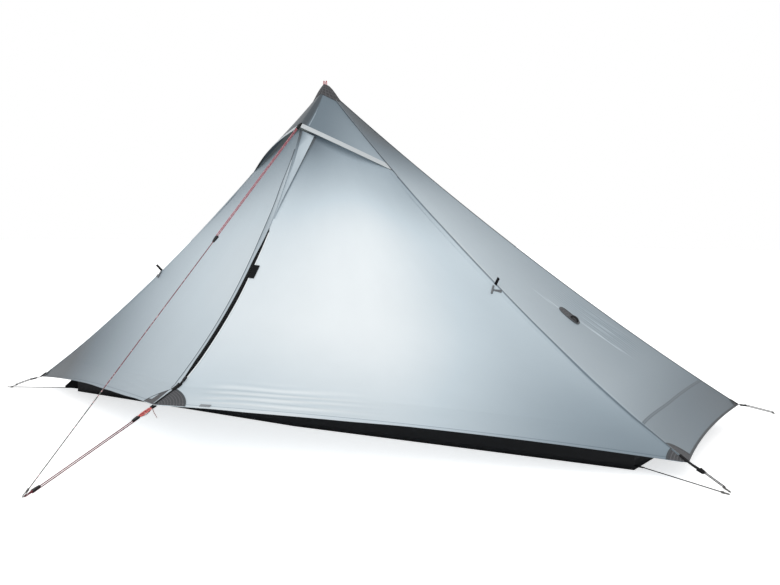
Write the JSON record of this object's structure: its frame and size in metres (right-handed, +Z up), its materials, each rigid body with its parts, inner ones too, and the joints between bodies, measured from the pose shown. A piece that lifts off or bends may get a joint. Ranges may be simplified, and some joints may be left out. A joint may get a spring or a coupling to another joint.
{
  "type": "tent",
  "caption": "One-person single-wall pyramid tent pitched on one pole, with a zipped front porch, vent hood, black bathtub floor, inner insect mesh and guylines.",
  "frame": {"origin": "on the ground straight under the peak, at the underside of the groundsheet, where the pole stands", "axes": "+Z up, -Y towards the porch, +X towards the right-hand end"},
  "size_m": [3.0261, 2.388, 1.2238],
  "materials": {
    "fly_fabric": "thin coated nylon, light blue grey, slight sheen",
    "hood_fabric": "thin coated nylon, darker where it is doubled",
    "tape_grey": "light grey woven binding",
    "zip_black": "black nylon zip",
    "patch_dark": "dark grid cloth",
    "webbing_black": "black woven webbing",
    "floor_black": "coated black nylon",
    "mesh_black": "fine black insect mesh",
    "pole_metal": "anodised grey tube",
    "plastic_black": "moulded black nylon",
    "plastic_red": "moulded red plastic",
    "rubber_black": "matt rubber",
    "cord_red": "red braided cord with a pale reflective fleck",
    "cord_grey": "grey braided cord"
  },
  "bodies": {
    "tent": {"front_panel_right": "fly_fabric", "front_panel_left": "fly_fabric", "end_panel_right": "fly_fabric", "end_panel_left": "fly_fabric", "end_skirt_right": "fly_fabric", "end_skirt_left": "fly_fabric", "back_panel": "fly_fabric", "vent_hood": "hood_fabric", "hood_band": "tape_grey", "apex_cap": "patch_dark", "guy_patch_right": "patch_dark", "guy_patch_left": "patch_dark", "hood_tab": "webbing_black", "porch_hook": "webbing_black", "tie_tab_right": "webbing_black", "tie_tab_left": "webbing_black", "corner_strap_front_right": "webbing_black", "corner_strap_front_left": "webbing_black", "corner_strap_back_right": "webbing_black", "corner_strap_back_left": "webbing_black", "floor_tie_right": "webbing_black", "floor_tie_left": "webbing_black", "bathtub_floor": "floor_black", "vent_mesh": "mesh_black", "mesh_wall_left": "mesh_black", "mesh_wall_right": "mesh_black", "mesh_skirt": "mesh_black", "pole_upper": "pole_metal", "pole_tip": "plastic_black", "clamp_upper": "plastic_black", "guyline_main": "cord_red", "guyline_porch": "cord_red", "apex_loops": "cord_red", "line_front_right": "cord_grey", "line_front_left": "cord_grey", "line_back_right": "cord_grey", "line_back_left": "cord_grey", "floor_line_right": "cord_grey", "floor_line_left": "cord_grey"},
    "door_right": {"door_right": "fly_fabric", "zip_tape_right": "zip_black", "storm_flap": "tape_grey", "flap_tab": "zip_black"},
    "door_left": {"door_left": "fly_fabric", "zip_tape_left": "zip_black"},
    "zip_slider": {"zip_slider": "zip_black"},
    "mesh_door": {"mesh_door": "mesh_black"},
    "pole_middle": {"pole_middle": "pole_metal", "clamp_lower": "plastic_black"},
    "pole_lower": {"pole_lower": "pole_metal", "pole_foot": "rubber_black"},
    "lever_upper": {"lever_upper": "plastic_red"},
    "lever_lower": {"lever_lower": "plastic_red"},
    "toggle_right": {"toggle_right": "plastic_black"},
    "toggle_left": {"toggle_left": "plastic_black"},
    "tensioner_main": {"tensioner_main": "plastic_black"},
    "tensioner_porch": {"tensioner_porch": "plastic_black"},
    "tensioner_stake": {"tensioner_stake": "plastic_black"}
  },
  "joints": [
    {"name": "door_right_fold", "type": "hinge", "parent": "tent", "child": "door_right", "pos_m": [0.10816, -0.12894, 0.94157], "axis": [-0.8061, 0.0376, 0.5906], "range_deg": [0, 85]},
    {"name": "door_left_fold", "type": "hinge", "parent": "tent", "child": "door_left", "pos_m": [-0.10816, -0.12894, 0.94157], "axis": [-0.8061, -0.0376, -0.5906], "range_deg": [0, 85]},
    {"name": "zip_slider_run", "type": "hinge", "parent": "door_right", "child": "zip_slider", "pos_m": [0, -1.89816, 1.67397], "axis": [1, 0, 0], "range_deg": [0, 28]},
    {"name": "mesh_door_fold", "type": "hinge", "parent": "tent", "child": "mesh_door", "pos_m": [0.01996, -0.03559, 0.94985], "axis": [0.781, -0.0586, -0.6218], "range_deg": [0, 60]},
    {"name": "pole_middle_slide", "type": "slide", "parent": "tent", "child": "pole_middle", "axis": [0, 0, 1], "range_m": [0, 0.28]},
    {"name": "pole_lower_slide", "type": "slide", "parent": "pole_middle", "child": "pole_lower", "axis": [0, 0, 1], "range_m": [0, 0.28]},
    {"name": "lever_upper_hinge", "type": "hinge", "parent": "tent", "child": "lever_upper", "pos_m": [-0.01705, 0, 0.773], "axis": [0, 1, 0], "range_deg": [0, 100]},
    {"name": "lever_lower_hinge", "type": "hinge", "parent": "pole_middle", "child": "lever_lower", "pos_m": [-0.01705, 0, 0.433], "axis": [0, 1, 0], "range_deg": [0, 100]},
    {"name": "toggle_right_swing", "type": "hinge", "parent": "tent", "child": "toggle_right", "pos_m": [0.73016, -0.09556, 0.50664], "axis": [-0.0736, 0.5629, 0.8233], "range_deg": [0, 60]},
    {"name": "toggle_left_swing", "type": "hinge", "parent": "tent", "child": "toggle_left", "pos_m": [-0.73016, -0.09556, 0.50664], "axis": [-0.0736, -0.5629, -0.8233], "range_deg": [0, 60]},
    {"name": "tensioner_main_slide", "type": "slide", "parent": "tent", "child": "tensioner_main", "axis": [0, -0.7381, -0.6746], "range_m": [-0.45, 0.75]},
    {"name": "tensioner_porch_slide", "type": "slide", "parent": "tent", "child": "tensioner_porch", "axis": [0, -0.9363, -0.3511], "range_m": [0, 0.25]},
    {"name": "tensioner_stake_slide", "type": "slide", "parent": "tent", "child": "tensioner_stake", "axis": [0, -0.9363, -0.3511], "range_m": [-0.12, 0]}
  ]
}
